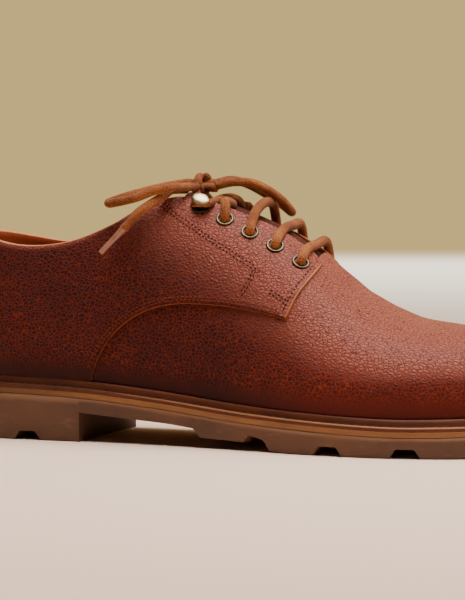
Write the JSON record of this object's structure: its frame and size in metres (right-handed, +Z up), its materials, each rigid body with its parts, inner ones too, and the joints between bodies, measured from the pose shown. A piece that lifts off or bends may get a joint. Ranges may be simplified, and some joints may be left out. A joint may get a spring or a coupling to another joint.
{
  "type": "lace-up shoe",
  "caption": "Low lace-up shoe in grained brown leather with open lacing, a stitched storm welt, a lugged rubber sole with a block heel and a pull loop at the back.",
  "frame": {"origin": "middle of the shoe's box, on the floor", "axes": "+X from heel to toe, +Y to the inner side of the foot, +Z up"},
  "size_m": [0.3072, 0.105, 0.123],
  "materials": {
    "grained_leather": "pebbled red-brown leather with a soft wax shine",
    "lining_leather": "smooth matte brown leather",
    "welt_leather": "smooth brown leather, stitched",
    "edge_leather": "cut and burnished edge",
    "sole_rubber": "matte taupe-brown rubber",
    "lace_cord": "waxed tan cord",
    "antique_metal": "pale antique brass",
    "clear_tip": "thin glossy sleeve"
  },
  "bodies": {
    "root": {"outsole": "sole_rubber", "midsole": "edge_leather", "welt": "welt_leather", "insole": "lining_leather", "upper": "grained_leather", "tongue": "grained_leather", "pull_loop": "grained_leather", "eyelet_outer_1": "antique_metal", "eyelet_inner_1": "antique_metal", "eyelet_outer_2": "antique_metal", "eyelet_inner_2": "antique_metal", "eyelet_outer_3": "antique_metal", "eyelet_inner_3": "antique_metal", "eyelet_outer_4": "antique_metal", "eyelet_inner_4": "antique_metal", "lace_hook_outer": "antique_metal", "lace_hook_inner": "antique_metal", "lace_bar_1": "lace_cord", "lace_bar_2": "lace_cord", "lace_bar_3": "lace_cord", "lace_crossing": "lace_cord", "lace_knot": "lace_cord", "lace_loop_outer": "lace_cord", "lace_loop_inner": "lace_cord", "lace_end_outer": "lace_cord", "lace_end_inner": "lace_cord", "aglet_outer": "clear_tip", "aglet_inner": "clear_tip"}
  },
  "joints": []
}
